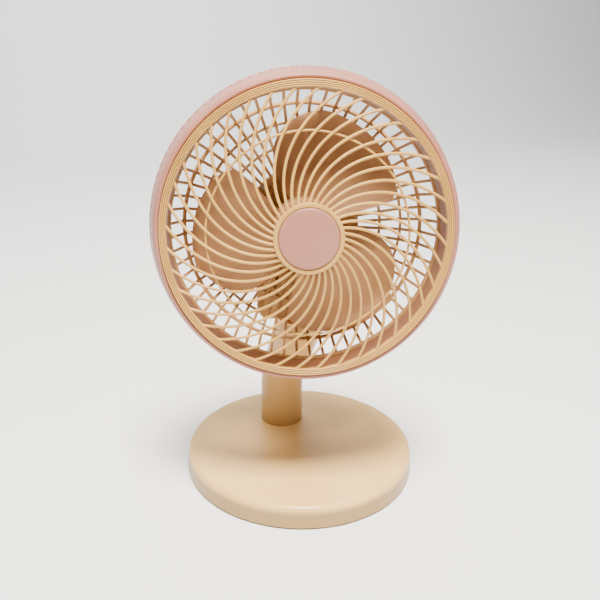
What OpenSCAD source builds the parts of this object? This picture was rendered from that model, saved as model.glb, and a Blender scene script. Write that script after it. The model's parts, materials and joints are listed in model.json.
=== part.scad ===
// Small desk fan on a bent neck: round base, swivelling and tilting head, three-blade impeller.
// World frame: +Z up, front towards -Y, origin under the middle of the base.
// Head frame: x to the right seen from the front, y down, z back from the plane of the front rim.

/* [Head] */
// Outer radius of the front grille's rim
rim_r = 100; // [85:1:120]
// Width of the rim's ridged band
rim_w = 5; // [4:0.5:8]
// Largest radius of the drum shell
drum_r = 110.4; // [108:0.1:132]
// Depth of the drum shell from the rim plane
drum_depth = 28.5; // [26:0.5:36]
// Wall of the drum shell
drum_wall = 2; // [1.6:0.1:2.6]
// How far the grille's hub stands ahead of the rim plane
dome_h = 16; // [10:1:24]
// Radius of the coloured cap in the grille's hub
cap_r = 20.3; // [14:0.1:26]
// Number of spiral ribs
rib_count = 40; // [24:1:48]
// Thickness of a spiral rib
rib_w = 2; // [1.6:0.1:2.4]
// Turn of a rib per millimetre of radius, in degrees
rib_twist = 0.68; // [0.4:0.01:0.8]
// Number of spokes in the rear grille
spoke_count = 60; // [40:1:72]
// Thickness of a rear spoke
spoke_w = 1.7; // [1.5:0.1:2.2]
// Number of notches round the drum
notch_count = 96; // [60:1:110]

/* [Impeller] */
// Number of blades
blade_count = 3; // [2:1:5]
// Radius of the blade tips
tip_r = 83; // [60:1:84]
// Outer radius of the impeller's hub
hub_r = 23; // [22:0.5:28]
// Thickness of a blade
blade_t = 1.8; // [1.4:0.1:2.4]
// Radius of the motor shaft
shaft_r = 1.5; // [1.3:0.1:2]

/* [Pose] */
// Turn of the head about the neck as it stands, in degrees
head_turn = -18.48; // [-40:0.01:20]
// Upward tilt of the head as it stands, in degrees
head_up = 5.62; // [0:0.01:12]

/* [Neck] */
// Outer radius of the neck tube
neck_r = 18.8; // [17:0.1:20]
// Wall of the neck tube
neck_wall = 3.5; // [2.5:0.1:4.5]
// Distance of the neck's foot behind the middle of the base
foot_y = 44; // [38:1:50]
// Height of the straight part of the neck
neck_straight = 50; // [40:1:62]
// Forward bend of the neck, in degrees
neck_bend = 35; // [28:1:38]
// Radius of the neck's bend
bend_r = 55; // [45:1:60]
// Height of the swivel joint
swivel_z = 133; // [130:1:138]
// Height of the tilt hinge over the swivel joint
tilt_rise = 32; // [32:1:40]

/* [Base] */
// Radius of the base at the table
base_r = 97.7; // [88:0.1:120]
// Height of the base
base_h = 19.5; // [18:0.1:28]
// Wall of the base cover
base_wall = 2.4; // [2:0.1:3]
// Radius of the non-slip pad
pad_r = 75; // [60:1:80]
// Radius of the ballast plate
ballast_r = 60; // [50:1:62]

/* [Fits] */
// Radial clearance of a running fit
run_gap = 0.05; // [0.03:0.01:0.1]
// Radial clearance of a pressed or clamped fit
seat_gap = 0.02; // [0.01:0.01:0.04]
// Clearance between moving casings
casing_gap = 0.3; // [0.3:0.1:0.6]
// Radius of the tilt bolt
bolt_r = 3; // [2.5:0.1:3.5]
// Radius of the swivel spigot
spigot_r = 6.5; // [6:0.1:7]

/* [Hidden] */

fine = 96;
small = 40;
eps = 0.01;
cream = "#e3c9a0";
pink = "#dcb7ab";
steel = "silver";

// Swivel and tilt
swivel_y = 1.3;
tilt_z = swivel_z + tilt_rise;
axis_ahead = 75.1;
axis_rise = 48.2;

// Base
pad_t = 2;
plate_gap = 0.05;
plate_t = 2.4;
plate_z = pad_t + plate_gap;
plate_r = base_r - base_wall - 0.7;
base_edge = 4.5;
base_foot_z = 1.2;
base_lean = 0.7;
base_boss_r = 80 * base_r / 97.7;
boss_r = 4.5;
screw_r = 1.5;
screw_head_r = 3;
screw_head_h = 1.2;
ballast_t = 5;
flange_r = neck_r + 9;
flange_t = 3;
flange_z = 9;
flange_holes = neck_r + 4.4;
socket_w = 9.4;
socket_h = 3.4;
socket_z = 7.7;
socket_len = 7.5;

// Neck path: straight, bend, oblique run up to the swivel joint
bend_y = foot_y - bend_r * (1 - cos(neck_bend));
bend_z = neck_straight + bend_r * sin(neck_bend);
joint_z = bend_z + (bend_y - swivel_y) / tan(neck_bend);
oblique_len = (bend_y - swivel_y) / sin(neck_bend);
bore_stop = 28;
bend_steps = 8;
passage_len = 13;
lead_r = 1.5;
passage_r = 3.5;
bush_len = 15;
bush_r = spigot_r + 3.5;
chamber_h = 6;
chamber_r = spigot_r + 2.7;
neck_top = swivel_z;

// Head shells
rim_in = rim_r - rim_w;
rim_back = 3;
skirt_r = rim_r - 2.1;
skirt_wall = 1.9;
lip_t = 2;
lip_in = skirt_r + 0.6;
flange_d = 2.3;
grille_neck_r = lip_in - 0.9;
hub_ring_r = cap_r + 3.2;
dome_t = 2;
ring_r = 0.7 * rim_r - 1.7;
guard_s = drum_depth + 32;
guard_side_s = drum_depth + 21.5;
guard_side_r = rim_r - 11.1;
guard_bowl_r = guard_side_r - 13.5;
plate_s = guard_s - 1.9;
guard_plate_r = 43;
guard_plate_t = 2;

// Motor, placed from the rear grille's plate
motor_flange_t = 2.2;
motor_flange_r = 18;
motor_back = plate_s - plate_gap;
tube_r = 5;
tube_len = 30;
bearing_r = 4;
bearing_h = 5;
core_h = 12;
core_mid = motor_back - 22.6;
core_r = 17.5;
coil_h = 16;
magnet_t = 1.2;
ring_t = 1.4;
cup_t = 1.9;
cup_front = motor_back - 38.6;
cup_len = 27;

// Rear housing
house_front = plate_s + guard_plate_t + plate_gap;
house_back = house_front + 27.4;
house_wall = 2.2;
lobe_w = 35;
lobe_corner = 14;
yoke_disc_t = 2;
lobe_end = tilt_rise - casing_gap - yoke_disc_t - 0.5;
ear_in = 6.6;
ear_t = 4;
ear_r = 9;
tongue_w = 5;
tongue_r = 8;
button_r = 6;
button_h = 5.5;
button_travel = 1.5;
button_flange_t = 1.4;
button_flange_s = house_back - house_wall - casing_gap - button_flange_t;
board_t = 1.6;
board_s = house_back - 12;

module head() {
    translate([0, swivel_y, tilt_z])
        rotate([0, 0, head_turn])
            rotate([-head_up, 0, 0])
                translate([0, -axis_ahead, axis_rise])
                    rotate([-90, 0, 0]) children();
}

// The swivelling part turns with the head but doesn't tilt
module swivel() {
    translate([0, swivel_y, 0]) rotate([0, 0, head_turn]) children();
}

module around(count, start = 0) {
    for (k = [0 : count - 1]) rotate([0, 0, start + k * 360 / count]) children();
}

// A closed ring: inner radius, outer radius, lower and upper height
module ring(r_in, r_out, low, high, sides = fine) {
    translate([0, 0, low]) difference() {
        cylinder(r = r_out, h = high - low, $fn = sides);
        translate([0, 0, -1]) cylinder(r = r_in, h = high - low + 2, $fn = sides);
    }
}

// A pan-head screw pointing along +z, with its head's underside at z = 0
module screw(length, r = screw_r, head_r = screw_head_r, head_h = screw_head_h) {
    translate([0, 0, -head_h]) cylinder(r = head_r, h = head_h, $fn = small);
    translate([0, 0, -eps]) cylinder(r = r, h = length + eps, $fn = small);
}

// ---- Base ----

module non_slip_pad() {
    color("dimgray") cylinder(r = pad_r, h = pad_t, $fn = fine);
}

module base_plate() {
    color(cream) difference() {
        translate([0, 0, plate_z]) cylinder(r = plate_r, h = plate_t, $fn = fine);
        around(4, 45) translate([base_boss_r, 0, 0])
            cylinder(r = screw_r + 0.2, h = base_h, $fn = small);
    }
}

module base_outline() {
    arc_r = base_r - base_lean - base_edge;
    arc_z = base_h - base_edge;
    steps = 6;
    polygon(concat(
        [[0, base_foot_z], [base_r, base_foot_z]],
        [for (i = [0 : steps])
            [arc_r + base_edge * cos(i * 90 / steps), arc_z + base_edge * sin(i * 90 / steps)]],
        [[0, base_h]]
    ));
}

module base_inside() {
    in_r = base_r - base_wall;
    polygon([
        [0, base_foot_z - 1], [in_r, base_foot_z - 1], [in_r - base_lean, base_h - base_edge],
        [in_r - base_edge, base_h - base_wall], [0, base_h - base_wall]
    ]);
}

module base_cover() {
    color(cream) difference() {
        union() {
            difference() {
                rotate_extrude($fn = fine) base_outline();
                rotate_extrude($fn = fine) base_inside();
            }
            around(4, 45) translate([base_boss_r, 0, plate_z + plate_t + plate_gap])
                cylinder(r = boss_r, h = base_h - plate_z - plate_t - base_wall, $fn = small);
            translate([0, foot_y, flange_z + flange_t + plate_gap]) around(3, 90)
                translate([flange_holes, 0, 0])
                    cylinder(r = boss_r, h = base_h - flange_z - flange_t - base_wall, $fn = small);
        }
        around(4, 45) translate([base_boss_r, 0, 0])
            cylinder(r = screw_r + seat_gap, h = base_h - base_wall - 1, $fn = small);
        translate([0, foot_y, 0]) around(3, 90) translate([flange_holes, 0, 0])
            cylinder(r = screw_r + seat_gap, h = base_h - base_wall - 1, $fn = small);
        translate([0, foot_y, 0]) cylinder(r = neck_r + 0.15, h = base_h + 1, $fn = fine);
        translate([-socket_w / 2 - 0.3, base_r - 12, socket_z - 0.3])
            cube([socket_w + 0.6, 20, socket_h + 0.6]);
    }
}

module base_screws() {
    color(steel) around(4, 45) translate([base_boss_r, 0, plate_z - plate_gap])
        screw(10);
}

module ballast_plate() {
    low = plate_z + plate_t + plate_gap;
    color("gray") difference() {
        translate([0, -16, low]) cylinder(r = ballast_r, h = ballast_t, $fn = fine);
        translate([0, foot_y, low - 1]) cylinder(r = flange_r + 1, h = ballast_t + 2, $fn = fine);
    }
}

module control_board() {
    color("seagreen") translate([-14, base_r - 26, socket_z - board_t - plate_gap])
        cube([28, 22, board_t]);
}

module power_socket() {
    color("dimgray") translate([0, base_r - 4, socket_z]) rotate([90, 0, 0]) difference() {
        translate([-socket_w / 2, 0, 0]) cube([socket_w, socket_h, socket_len]);
        translate([-socket_w / 2 + 0.5, 0.5, -1]) cube([socket_w - 1, socket_h - 1, socket_len]);
    }
}

// ---- Neck ----

// Stations of a run along the neck path, each with its place and its forward lean
function neck_path(low, short) = concat(
    [[foot_y, low, 0], [foot_y, neck_straight, 0]],
    [for (i = [1 : bend_steps]) let (a = neck_bend * i / bend_steps)
        [foot_y - bend_r * (1 - cos(a)), neck_straight + bend_r * sin(a), a]],
    [[bend_y - (oblique_len - short) * sin(neck_bend),
      bend_z + (oblique_len - short) * cos(neck_bend), neck_bend]]
);

// One circle of a run, square to the path
function hoop(station, r, sides) = [
    for (j = [0 : sides - 1]) let (a = 360 * j / sides)
        [r * cos(a), station[0] + r * sin(a) * cos(station[2]),
         station[1] + r * sin(a) * sin(station[2])]
];

// A solid or hollow tube along a path: rings of points joined by triangles, with flat ends
module sweep(path, r, bore = 0, sides = 48) {
    n = len(path);
    points = [
        for (station = path) each hoop(station, r, sides),
        if (bore > 0) for (station = path) each hoop(station, bore, sides)
    ];
    function at(i, j, inner = 0) = (inner * n + i) * sides + j % sides;
    last = n - 1;
    faces = [
        for (i = [0 : n - 2], j = [0 : sides - 1]) each [
            [at(i, j), at(i + 1, j), at(i + 1, j + 1)], [at(i, j), at(i + 1, j + 1), at(i, j + 1)]
        ],
        if (bore > 0) for (i = [0 : n - 2], j = [0 : sides - 1]) each [
            [at(i, j, 1), at(i + 1, j + 1, 1), at(i + 1, j, 1)],
            [at(i, j, 1), at(i, j + 1, 1), at(i + 1, j + 1, 1)]
        ],
        if (bore > 0) for (j = [0 : sides - 1]) each [
            [at(0, j), at(0, j + 1), at(0, j + 1, 1)], [at(0, j), at(0, j + 1, 1), at(0, j, 1)],
            [at(last, j), at(last, j + 1, 1), at(last, j + 1)],
            [at(last, j), at(last, j, 1), at(last, j + 1, 1)]
        ],
        if (bore == 0) [for (j = [0 : sides - 1]) at(0, j)],
        if (bore == 0) [for (j = [sides - 1 : -1 : 0]) at(last, j)]
    ];
    polyhedron(points, faces);
}

module neck_tube() {
    color(cream) sweep(neck_path(flange_z, bore_stop), neck_r, neck_r - neck_wall);
}

// Ring that clamps the neck's foot under the cover
module neck_flange() {
    color(cream) translate([0, foot_y, flange_z]) difference() {
        ring(neck_r + seat_gap, flange_r, 0, flange_t);
        around(3, 90) translate([flange_holes, 0, -1])
            cylinder(r = screw_r + 0.2, h = flange_t + 2, $fn = small);
    }
}

// Solid head of the neck: the oblique run's end, mitred into the upright collar
module neck_collar() {
    color(cream) difference() {
        union() {
            translate([0, bend_y, bend_z]) rotate([neck_bend, 0, 0])
                translate([0, 0, oblique_len - bore_stop + plate_gap])
                    cylinder(r = neck_r, h = bore_stop - plate_gap, $fn = fine);
            intersection() {
                translate([0, swivel_y, joint_z - neck_r])
                    cylinder(r = neck_r, h = 2 * neck_r, $fn = fine);
                translate([0, swivel_y, joint_z]) rotate([neck_bend / 2, 0, 0])
                    translate([-2 * neck_r, -2 * neck_r, 0]) cube(4 * neck_r);
            }
        }
        translate([0, bend_y, bend_z]) rotate([neck_bend, 0, 0])
            translate([0, 0, oblique_len - bore_stop - 1])
                cylinder(r = passage_r, h = passage_len + 1, $fn = small);
        translate([-40, -40, neck_top]) cube([80, 80, 40]);
        translate([0, swivel_y, neck_top - bush_len])
            cylinder(r = bush_r + seat_gap, h = bush_len + 1, $fn = fine);
        translate([0, swivel_y, neck_top - bush_len - chamber_h])
            cylinder(r = chamber_r, h = chamber_h + eps, $fn = fine);
    }
}

module neck_screws() {
    color(steel) translate([0, foot_y, flange_z - plate_gap]) around(3, 90)
        translate([flange_holes, 0, 0]) screw(7);
}

module neck_lead() {
    color("dimgray") sweep(neck_path(flange_z + 1, bore_stop + 4), lead_r, 0, 10);
}

module swivel_bush() {
    color("white") translate([0, swivel_y, 0])
        ring(spigot_r + run_gap, bush_r, neck_top - bush_len, neck_top, fine);
}

// ---- Swivelling yoke ----

module swivel_yoke() {
    disc_z = swivel_z + casing_gap;
    groove_z = neck_top - bush_len - 3.2;
    color(cream) swivel() difference() {
        union() {
            translate([0, 0, disc_z]) cylinder(r = neck_r - casing_gap, h = yoke_disc_t, $fn = fine);
            translate([0, 0, neck_top - bush_len - chamber_h + 1])
                cylinder(r = spigot_r, h = bush_len + chamber_h, $fn = fine);
            translate([-tongue_w, -tongue_r, disc_z + 1])
                cube([2 * tongue_w, 2 * tongue_r, tilt_z - disc_z - 1]);
            translate([-tongue_w, 0, tilt_z]) rotate([0, 90, 0])
                cylinder(r = tongue_r, h = 2 * tongue_w, $fn = fine);
        }
        translate([0, 0, neck_top - bush_len - chamber_h])
            cylinder(r = passage_r, h = bush_len + chamber_h + 8, $fn = small);
        translate([-tongue_w - 1, 0, swivel_z + 8]) rotate([0, 90, 0])
            cylinder(r = passage_r, h = 2 * tongue_w + 2, $fn = small);
        translate([-tongue_w - 1, 0, tilt_z]) rotate([0, 90, 0])
            cylinder(r = bolt_r + run_gap, h = 2 * tongue_w + 2, $fn = small);
        ring(spigot_r - 1, spigot_r + 1, groove_z, groove_z + 1.6, small);
    }
}

module swivel_clip() {
    clip_z = neck_top - bush_len - 3;
    color(steel) swivel() difference() {
        ring(spigot_r - 1 + seat_gap, chamber_r - 0.6, clip_z, clip_z + 1.2, small);
        translate([-2, 0, clip_z - 1]) cube([4, chamber_r, 3]);
    }
}

// ---- Tilt hinge, in the head frame, across x ----

module across_tilt(from, to, r) {
    translate([from, axis_rise, axis_ahead]) rotate([0, 90, 0])
        cylinder(r = r, h = to - from, $fn = small);
}

module tilt_bolt() {
    end = ear_in + ear_t + 5;
    color(steel) head() {
        across_tilt(-ear_in - ear_t - 3, -ear_in - ear_t - plate_gap, bolt_r + 2.5);
        across_tilt(-ear_in - ear_t - 1, end, bolt_r);
    }
}

module tilt_nut() {
    low = ear_in + ear_t + plate_gap;
    color(steel) head() difference() {
        translate([low, axis_rise, axis_ahead]) rotate([0, 90, 0])
            cylinder(r = bolt_r + 2.8, h = 3.6, $fn = 6);
        across_tilt(low - 1, low + 5, bolt_r + seat_gap);
    }
}

module tilt_washers() {
    color("white") head() for (side = [-1, 1]) {
        mid = side * (tongue_w + ear_in) / 2;
        half = (ear_in - tongue_w) / 2 - 0.15;
        difference() {
            across_tilt(mid - half, mid + half, bolt_r + 3.6);
            across_tilt(mid - half - 1, mid + half + 1, bolt_r + run_gap);
        }
    }
}

// ---- Front grille ----

function dome_s(r) = -dome_h * (rim_r - 3 - r) / (rim_r - 3 - hub_ring_r);
function rib_turn(r) = rib_twist * (r - 26) - 6.78;
function rib_half(r) = rib_w / 2 / r * 180 / PI * sqrt(1 + pow(r * rib_twist * PI / 180, 2));
function polar(r, a) = [r * cos(a), r * sin(a)];

// Plan of one spiral rib: an Archimedean spiral with the rib's width across it
module rib_plan() {
    low = hub_ring_r - 1.5;
    high = rim_in + 1;
    steps = 14;
    radii = [for (i = [0 : steps]) low + (high - low) * i / steps];
    polygon(concat(
        [for (i = [0 : steps]) polar(radii[i], rib_turn(radii[i]) - rib_half(radii[i]))],
        [for (i = [steps : -1 : 0]) polar(radii[i], rib_turn(radii[i]) + rib_half(radii[i]))]
    ));
}

module rim_outline() {
    ridge = rim_w / 3;
    polygon(concat(
        [[rim_in, rim_back], [rim_in, 0]],
        [for (i = [0 : 2]) each [
            [rim_in + i * ridge + 0.3, -1.2], [rim_in + (i + 1) * ridge - 0.4, -1.2],
            [rim_in + (i + 1) * ridge - 0.05, -0.5]
        ]],
        [[rim_r, 0], [rim_r, rim_back]]
    ));
}

module front_grille() {
    color(cream) head() {
        intersection() {
            translate([0, 0, -dome_h - 4]) linear_extrude(height = dome_h + 8)
                around(rib_count) rib_plan();
            rotate_extrude($fn = fine) polygon([
                [hub_ring_r - 2, dome_s(hub_ring_r - 2)], [rim_in + 2, dome_s(rim_in + 2)],
                [rim_in + 2, dome_s(rim_in + 2) + dome_t],
                [hub_ring_r - 2, dome_s(hub_ring_r - 2) + dome_t]
            ]);
        }
        rotate_extrude($fn = fine) rim_outline();
        ring(skirt_r - skirt_wall, skirt_r, rim_back - 1, drum_depth - lip_t - flange_d - 0.5);
        ring(cap_r + 0.15, hub_ring_r, -dome_h - 0.8, -dome_h + 6);
        translate([0, 0, -dome_h + 4]) cylinder(r = cap_r + 1, h = 2, $fn = fine);
        ring(ring_r - 0.8, ring_r + 0.8, dome_s(ring_r) + dome_t - 0.4, dome_s(ring_r) + dome_t + 1.1);
    }
}

module centre_cap() {
    color(pink) head() rotate_extrude($fn = fine) polygon([
        [0, -dome_h + 3.9], [cap_r, -dome_h + 3.9], [cap_r, -dome_h - 0.8],
        [cap_r - 0.8, -dome_h - 1.6], [cap_r / 2, -dome_h - 2], [0, -dome_h - 2.1]
    ]);
}

// ---- Drum ----

module drum_outline() {
    front_in = rim_r + 0.3;
    flare = drum_r - front_in - 5;
    polygon([
        [front_in, 1.2], [front_in + 1.4, 0.8], [front_in + 3, 2.6], [front_in + 5.2, 7],
        [drum_r, drum_depth - 1.6], [drum_r - 0.8, drum_depth], [lip_in, drum_depth],
        [lip_in, drum_depth - lip_t], [drum_r - drum_wall - 0.4, drum_depth - lip_t],
        [drum_r - flare - drum_wall + 0.1, 8.5], [front_in + 0.6, 4.6], [skirt_r + 0.4, 4.6],
        [skirt_r + 0.4, rim_back + 0.05], [front_in, rim_back + 0.05]
    ]);
}

module drum_shell() {
    color(pink) head() difference() {
        rotate_extrude($fn = fine) drum_outline();
        translate([0, 0, drum_depth - 8.5]) linear_extrude(height = 6)
            around(notch_count, 1.9) translate([drum_r - 1.6, -1.5]) square([6, 3]);
        around(4, 45) translate([skirt_r + 3.4, 0, 20])
            cylinder(r = 1.4, h = drum_depth, $fn = small);
    }
}

// ---- Rear grille ----

module guard_strip() {
    polygon([
        [grille_neck_r, drum_depth - 1], [guard_side_r, guard_side_s], [guard_bowl_r, guard_s - 0.4],
        [guard_plate_r - 2, guard_s], [guard_plate_r - 2, plate_s],
        [guard_bowl_r - 1, plate_s - 0.4], [guard_side_r - 1.9, guard_side_s - 1],
        [grille_neck_r - 1.9, drum_depth - 1]
    ]);
}

module guard_plate_plan() {
    difference() {
        circle(r = guard_plate_r, $fn = fine);
        circle(r = 4.5, $fn = small);
        around(3, 30) translate([12, 0]) circle(r = 1.5, $fn = small);
        around(4, 45) translate([40, 0]) circle(r = 1.25 + seat_gap, $fn = small);
        around(20, 0) translate([33, -1.6]) square([4.5, 3.2]);
        around(12, 15) translate([20.5, -1.2]) square([6, 2.4]);
    }
}

module rear_grille() {
    color(cream) head() {
        difference() {
            ring(grille_neck_r - 2.6, skirt_r + 5, drum_depth - lip_t - flange_d,
                 drum_depth - lip_t - 0.1);
            around(4, 45) translate([skirt_r + 3.4, 0, 10])
                cylinder(r = 1.2 + seat_gap, h = drum_depth, $fn = small);
        }
        ring(grille_neck_r - 2.6, grille_neck_r, drum_depth - lip_t - flange_d, drum_depth + 1);
        intersection() {
            translate([0, 0, drum_depth - 2]) linear_extrude(height = guard_s - drum_depth + 4)
                around(spoke_count, 3) translate([guard_plate_r - 1.4, -spoke_w / 2])
                    square([grille_neck_r - guard_plate_r + 2.4, spoke_w]);
            rotate_extrude($fn = fine) guard_strip();
        }
        ring(guard_side_r - 2.2, guard_side_r + 0.6, guard_side_s - 1.6, guard_side_s + 1.4);
        ring(guard_bowl_r - 0.9, guard_bowl_r + 0.9, guard_s - 2.4, guard_s);
        ring(guard_bowl_r - 16.8, guard_bowl_r - 15, guard_s - 2.2, guard_s);
        translate([0, 0, plate_s]) linear_extrude(height = guard_plate_t) guard_plate_plan();
    }
}

module grille_screws() {
    color(steel) head() around(4, 45) translate([skirt_r + 3.4, 0, drum_depth + plate_gap])
        rotate([180, 0, 0]) screw(4, 1.2, 2.3, 1.1);
}

// ---- Rear housing ----

// Outline of the housing, drawn in by a given wall
module house_plan(inset) {
    low = axis_rise + lobe_end;
    circle(r = guard_plate_r - inset, $fn = fine);
    translate([-lobe_w + inset, 0]) square([2 * (lobe_w - inset), low - lobe_corner]);
    translate([-lobe_w + lobe_corner, 0]) square([2 * (lobe_w - lobe_corner), low - inset]);
    for (side = [-1, 1]) translate([side * (lobe_w - lobe_corner), low - lobe_corner])
        circle(r = lobe_corner - inset, $fn = fine);
}

// Everything farther below the tilt axis than the housing's end may reach
module below_lobe() {
    difference() {
        translate([-60, axis_rise, house_front - 10]) cube([120, 60, 50]);
        across_tilt(-61, 61, lobe_end);
    }
}

module rear_housing() {
    depth = house_back - house_front;
    color(cream) head() difference() {
        union() {
            difference() {
                translate([0, 0, house_front]) linear_extrude(height = depth - 3) house_plan(0);
                translate([0, 0, house_front + house_wall])
                    linear_extrude(height = depth - 2 * house_wall) house_plan(house_wall);
            }
            difference() {
                translate([0, 0, house_back - 3]) linear_extrude(height = 3) house_plan(2);
                translate([0, 0, house_back - 4])
                    linear_extrude(height = 4 - house_wall) house_plan(2 + house_wall);
            }
            around(4, 45) translate([40 - 1.6, 0, house_front + 1])
                cylinder(r = 3.4, h = 11, $fn = small);
            for (x = [-1, 1], y = [-22, 16]) translate([x * 16, y, board_s + board_t + plate_gap])
                cylinder(r = 2.6, h = house_back - board_s - board_t - 1, $fn = small);
            for (side = [-1, 1]) {
                left = side < 0 ? -ear_in - ear_t : ear_in;
                translate([left, axis_rise - ear_r - 2, house_front + 1])
                    cube([ear_t, 2 * ear_r + 2, depth - 2]);
            }
        }
        translate([0, 0, house_front - 1]) cylinder(r = 36, h = house_wall + 1.5, $fn = fine);
        around(4, 45) translate([40, 0, house_front - 1])
            cylinder(r = 1.25 + seat_gap, h = 11, $fn = small);
        for (x = [-1, 1], y = [-22, 16]) translate([x * 16, y, board_s])
            cylinder(r = 1.25 + seat_gap, h = 8, $fn = small);
        across_tilt(-ear_in - ear_t - 1, ear_in + ear_t + 1, bolt_r + run_gap);
        translate([0, 0, house_back - house_wall - 1])
            cylinder(r = button_r + casing_gap, h = house_wall + 2, $fn = small);
        translate([-tongue_w - 1.4, axis_rise + 2, house_front - 1])
            cube([2 * tongue_w + 2.8, 60, depth + 2]);
        translate([-neck_r - 2, axis_rise + 12, house_front + house_wall])
            cube([2 * neck_r + 4, 60, depth - 2 * house_wall]);
        for (x = [-26, -20, 20, 26], i = [0 : 4])
            translate([x - 1.8, 26 + i * 7, house_front - 1]) cube([3.6, 3, house_wall + 2]);
        for (x = [-3 : 3]) translate([x * 6 - 1.2, -34, house_back - house_wall - 1])
            cube([2.4, 10, house_wall + 2]);
        below_lobe();
    }
}

module housing_screws() {
    color(steel) head() around(4, 45) translate([40, 0, plate_s - plate_gap])
        screw(9, 1.25, 2.3, 1.1);
}

module driver_board() {
    color("seagreen") head() difference() {
        translate([-20, -26, board_s]) cube([40, 46, board_t]);
        for (x = [-1, 1], y = [-22, 16]) translate([x * 16, y, board_s - 1])
            cylinder(r = 1.45, h = 4, $fn = small);
    }
}

module board_screws() {
    color(steel) head() for (x = [-1, 1], y = [-22, 16])
        translate([x * 16, y, board_s - plate_gap]) screw(5, 1.25, 2.3, 1.1);
}

module button_switch() {
    low = board_s + board_t + plate_gap;
    plunger_end = button_flange_s - button_travel - 0.15;
    color("dimgray") head() {
        translate([-3, -3, low]) cube([6, 6, 1.8]);
        translate([0, 0, low + 1.7]) cylinder(r = 1.6, h = plunger_end - low - 1.7, $fn = small);
    }
}

module speed_button() {
    color(pink) head() {
        translate([0, 0, button_flange_s])
            cylinder(r = button_r + 1.4, h = button_flange_t, $fn = small);
        translate([0, 0, button_flange_s + 1]) cylinder(r = button_r, h = button_h, $fn = small);
    }
}

// ---- Motor ----

module motor_base() {
    flange = motor_back - motor_flange_t;
    color("gainsboro") head() difference() {
        union() {
            translate([0, 0, flange]) cylinder(r = motor_flange_r, h = motor_flange_t, $fn = fine);
            translate([0, 0, motor_back - tube_len]) cylinder(r = tube_r, h = tube_len, $fn = small);
        }
        translate([0, 0, motor_back - tube_len - 1])
            cylinder(r = bearing_r, h = tube_len + 2, $fn = small);
        around(3, 30) translate([12, 0, flange - 1])
            cylinder(r = 1.25 + seat_gap, h = motor_flange_t + 2, $fn = small);
    }
}

module motor_screws() {
    color(steel) head() around(3, 30)
        translate([12, 0, plate_s + guard_plate_t + plate_gap]) rotate([180, 0, 0])
            screw(4, 1.25, 2.3, 1.1);
}

module stator_core() {
    color("slategray") head() translate([0, 0, core_mid - core_h / 2]) difference() {
        linear_extrude(height = core_h) {
            circle(r = tube_r + 3, $fn = fine);
            around(9) translate([tube_r + 1, -1.3]) square([core_r - tube_r - 2, 2.6]);
            around(9) intersection() {
                difference() {
                    circle(r = core_r, $fn = fine);
                    circle(r = core_r - 1.8, $fn = fine);
                }
                translate([0, -4.6]) square([30, 9.2]);
            }
        }
        translate([0, 0, -1]) cylinder(r = tube_r + seat_gap, h = core_h + 2, $fn = small);
    }
}

module stator_coils() {
    color("peru") head() translate([0, 0, core_mid]) around(9) difference() {
        translate([tube_r + 3.6, -2.6, -coil_h / 2]) cube([core_r - tube_r - 5.8, 5.2, coil_h]);
        translate([tube_r + 2, -1.35, -core_h / 2 - 0.05])
            cube([core_r - tube_r, 2.7, core_h + 0.1]);
    }
}

module bearing(low) {
    ring(shaft_r + run_gap, bearing_r - seat_gap, low, low + bearing_h, small);
}

module front_bearing() {
    color(steel) head() bearing(motor_back - tube_len + 0.5);
}

module rear_bearing() {
    color(steel) head() bearing(motor_back - bearing_h - 0.5);
}

// ---- Impeller ----

// Edges of a blade as angles from its tip, at radius r
function lead_edge(r) = r > 54 ? -65 * (1 - pow((r - 54) / (tip_r - 54), 4)) : -65 + 3 * (54 - r) / 32;
function trail_edge(r) = 34 * pow(max(0, 1 - pow((r - hub_r + 1) / (tip_r - hub_r + 1), 3.3)), 0.8);

// Depth of a blade's front face: u runs from one edge to the other, v from hub to tip
function blade_depth(u, v) = cup_front + 2 + 21 * pow(u, 0.75) + 3 * v;

function blade_point(i, j, cols, rows, back) =
    let (
        r = hub_r - 0.8 + (tip_r - hub_r + 0.4) * sin(90 * j / rows),
        u = i / cols,
        a = lead_edge(r) + (trail_edge(r) - lead_edge(r)) * u,
        s = blade_depth(u, (r - hub_r) / (tip_r - hub_r)) + (back ? blade_t : 0)
    )
    [r * cos(-a), r * sin(-a), s];

module blade() {
    cols = 9;
    rows = 10;
    n = (cols + 1) * (rows + 1);
    function at(i, j, side) = side * n + j * (cols + 1) + i;
    points = [
        for (side = [0, 1], j = [0 : rows], i = [0 : cols]) blade_point(i, j, cols, rows, side == 1)
    ];
    faces = [
        for (j = [0 : rows - 1], i = [0 : cols - 1]) each [
            [at(i, j, 0), at(i + 1, j, 0), at(i, j + 1, 0)],
            [at(i + 1, j, 0), at(i + 1, j + 1, 0), at(i, j + 1, 0)],
            [at(i, j, 1), at(i, j + 1, 1), at(i + 1, j, 1)],
            [at(i + 1, j, 1), at(i, j + 1, 1), at(i + 1, j + 1, 1)]
        ],
        for (i = [0 : cols - 1]) each [
            [at(i, 0, 0), at(i, 0, 1), at(i + 1, 0, 0)],
            [at(i + 1, 0, 0), at(i, 0, 1), at(i + 1, 0, 1)],
            [at(i, rows, 0), at(i + 1, rows, 0), at(i, rows, 1)],
            [at(i + 1, rows, 0), at(i + 1, rows, 1), at(i, rows, 1)]
        ],
        for (j = [0 : rows - 1]) each [
            [at(0, j, 0), at(0, j + 1, 0), at(0, j, 1)],
            [at(0, j + 1, 0), at(0, j + 1, 1), at(0, j, 1)],
            [at(cols, j, 0), at(cols, j, 1), at(cols, j + 1, 0)],
            [at(cols, j + 1, 0), at(cols, j, 1), at(cols, j + 1, 1)]
        ]
    ];
    polyhedron(points, faces);
}

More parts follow.
